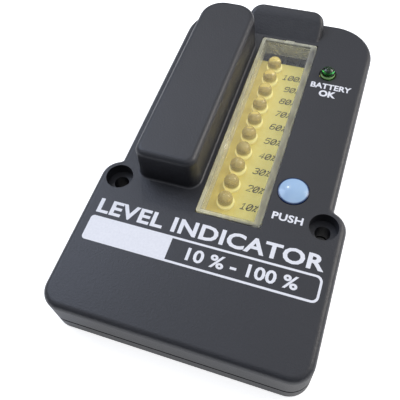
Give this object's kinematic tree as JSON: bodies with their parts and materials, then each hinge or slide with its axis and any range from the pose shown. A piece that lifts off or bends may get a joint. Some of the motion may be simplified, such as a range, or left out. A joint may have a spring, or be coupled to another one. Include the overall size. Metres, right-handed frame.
{
  "type": "tank level indicator",
  "caption": "Battery tank level indicator: dark moulded case with a battery bay, a clear window over a column of level lamps and a scale, a push button and a battery lamp.",
  "frame": {"origin": "on the flat back face, midway between the two wall screw holes", "axes": "+Z out of the front face, +Y towards the full end of the scale and the wire entry, +X to the right as seen from the front"},
  "size_m": [0.0792, 0.1326, 0.0292],
  "materials": {
    "housing": "fine satin moulded",
    "clear": "clear moulded plastic",
    "button": "glossy",
    "board": "printed laminate",
    "red_lamp": "tinted epoxy",
    "green_lamp": "tinted epoxy",
    "dark_plastic": "moulded",
    "battery_can": "drawn can",
    "red_wire": "flexible sleeve",
    "black_wire": "flexible sleeve",
    "grey_plastic": "moulded",
    "steel": "zinc plated",
    "blue_plastic": "moulded",
    "resistor_body": "lacquered"
  },
  "bodies": {
    "case": {"back_cover": "housing", "battery_9v": "battery_can", "battery_lamp": "green_lamp", "battery_lead_black": "black_wire", "battery_lead_red": "red_wire", "battery_snap": "dark_plastic", "board_screws": "steel", "capacitor": "battery_can", "circuit_board": "board", "cover_screws": "steel", "driver_chip": "dark_plastic", "front_housing": "housing", "level_lamp_10": "red_lamp", "level_lamp_100": "red_lamp", "level_lamp_20": "red_lamp", "level_lamp_30": "red_lamp", "level_lamp_40": "red_lamp", "level_lamp_50": "red_lamp", "level_lamp_60": "red_lamp", "level_lamp_70": "red_lamp", "level_lamp_80": "red_lamp", "level_lamp_90": "red_lamp", "push_switch_body": "dark_plastic", "resistors": "resistor_body", "terminal_links": "steel", "terminal_screws": "steel", "terminal_strip": "grey_plastic", "trimmer": "blue_plastic", "window_lens": "clear"},
    "button": {"push_button": "button", "push_switch_plunger": "dark_plastic"}
  },
  "joints": [
    {"name": "button_press", "type": "slide", "parent": "case", "child": "button", "axis": [0, 0, -1], "range_m": [0, 0.0005], "stiffness_N_per_m": 1500}
  ]
}
